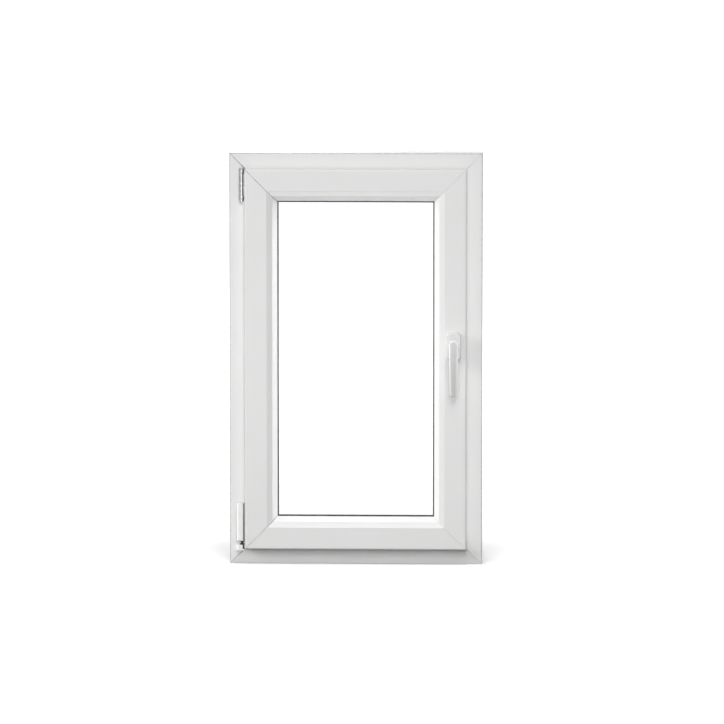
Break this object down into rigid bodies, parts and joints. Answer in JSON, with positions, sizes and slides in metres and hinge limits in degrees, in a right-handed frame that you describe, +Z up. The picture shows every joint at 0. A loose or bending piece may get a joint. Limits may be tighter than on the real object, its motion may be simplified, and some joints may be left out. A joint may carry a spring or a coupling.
{
  "type": "tilt and turn window",
  "caption": "White plastic tilt and turn window with a mitred, chambered frame, a glazed opening sash with clip-in beads, a turning lever handle and exposed side hinges.",
  "frame": {"origin": "middle of the frame's bottom face, half way through its depth", "axes": "+Z up, +X to the right seen from the room, the room on the -Y side and the outside on the +Y side"},
  "size_m": [0.6, 0.1575, 0.98],
  "materials": {
    "pvc_white": "smooth extruded white plastic with a soft sheen",
    "gasket": "soft grey extruded rubber",
    "glass": "clear float glass",
    "spacer": "mill finish aluminium section",
    "handle_white": "white powder coat on a die casting",
    "hinge_steel": "silver zinc plated steel",
    "pin_steel": "blackened steel",
    "hinge_cover": "moulded white plastic"
  },
  "bodies": {
    "window": {"frame_head": "pvc_white", "frame_sill": "pvc_white", "frame_hinge_jamb": "pvc_white", "frame_lock_jamb": "pvc_white", "sash_top_rail": "pvc_white", "sash_bottom_rail": "pvc_white", "sash_hinge_stile": "pvc_white", "sash_lock_stile": "pvc_white", "bead_top": "pvc_white", "bead_bottom": "pvc_white", "bead_hinge_side": "pvc_white", "bead_lock_side": "pvc_white", "drain_cap_left": "pvc_white", "drain_cap_right": "pvc_white", "frame_gasket": "gasket", "sash_gasket": "gasket", "glazing_gasket_inner": "gasket", "glazing_gasket_outer": "gasket", "glass_inner_pane": "glass", "glass_outer_pane": "glass", "spacer_bar": "spacer", "handle_rosette": "handle_white", "top_hinge_bracket": "hinge_steel", "top_hinge_knuckle": "hinge_steel", "top_hinge_pin": "hinge_steel", "bottom_hinge_band": "hinge_steel", "bottom_hinge_pin": "pin_steel", "bottom_hinge_pivot": "hinge_cover", "bottom_hinge_cover": "hinge_cover"},
    "handle": {"handle_lever": "handle_white"}
  },
  "joints": [
    {"name": "handle_turn", "type": "hinge", "parent": "window", "child": "handle", "pos_m": [0.2332, -0.0585, 0.524], "axis": [0, 1, 0], "range_deg": [0, 180]}
  ]
}
